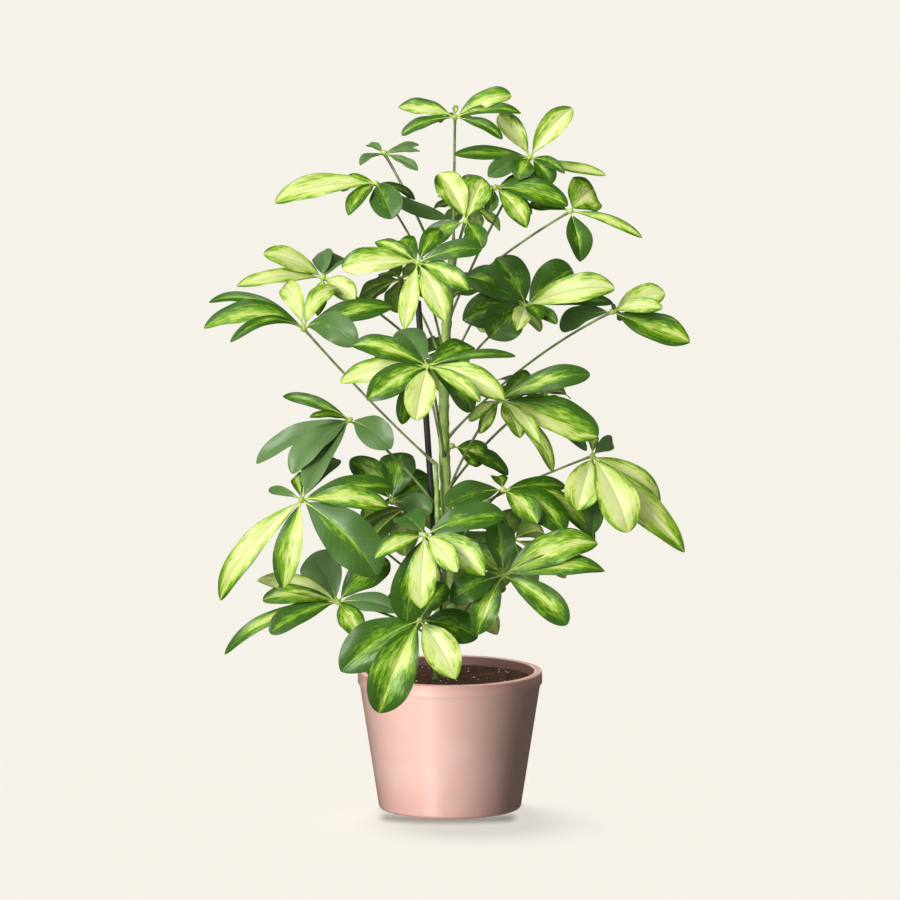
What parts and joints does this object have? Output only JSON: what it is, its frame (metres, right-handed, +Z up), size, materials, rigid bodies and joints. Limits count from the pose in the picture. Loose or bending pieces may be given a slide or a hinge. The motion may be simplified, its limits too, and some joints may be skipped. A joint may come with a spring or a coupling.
{
  "type": "potted umbrella plant",
  "caption": "Variegated dwarf umbrella plant with ringed leaflets on thin stalks, held by a black support rod, in a smooth tapered pink pot.",
  "frame": {"origin": "centre of the pot's flat underside", "axes": "+Z up along the pot's centre line, -Y towards the front of the plant, +X to its right"},
  "size_m": [0.4854, 0.3568, 0.73],
  "materials": {
    "pot": "satin",
    "soil": "matte",
    "stake": "satin",
    "stem": "satin",
    "leaf": "gloss"
  },
  "bodies": {
    "root": {"pot": "pot", "soil": "soil", "stake": "stake", "stem_main": "stem", "stem_second": "stem", "leaf_01": "leaf", "leaf_02": "leaf", "leaf_03": "leaf", "leaf_04": "leaf", "leaf_05": "leaf", "leaf_06": "leaf", "leaf_07": "leaf", "leaf_08": "leaf", "leaf_09": "leaf", "leaf_10": "leaf", "leaf_11": "leaf", "leaf_12": "leaf", "leaf_13": "leaf", "leaf_14": "leaf", "leaf_15": "leaf", "leaf_16": "leaf", "leaf_17": "leaf", "leaf_18": "leaf", "leaf_19": "leaf", "leaf_20": "leaf", "leaf_21": "leaf", "leaf_22": "leaf", "leaf_23": "leaf", "leaf_24": "leaf", "leaf_25": "leaf", "leaf_26": "leaf", "leaf_27": "leaf", "leaf_28": "leaf", "leaf_29": "leaf", "leaf_30": "leaf", "leaf_31": "leaf", "leaf_32": "leaf"}
  },
  "joints": []
}
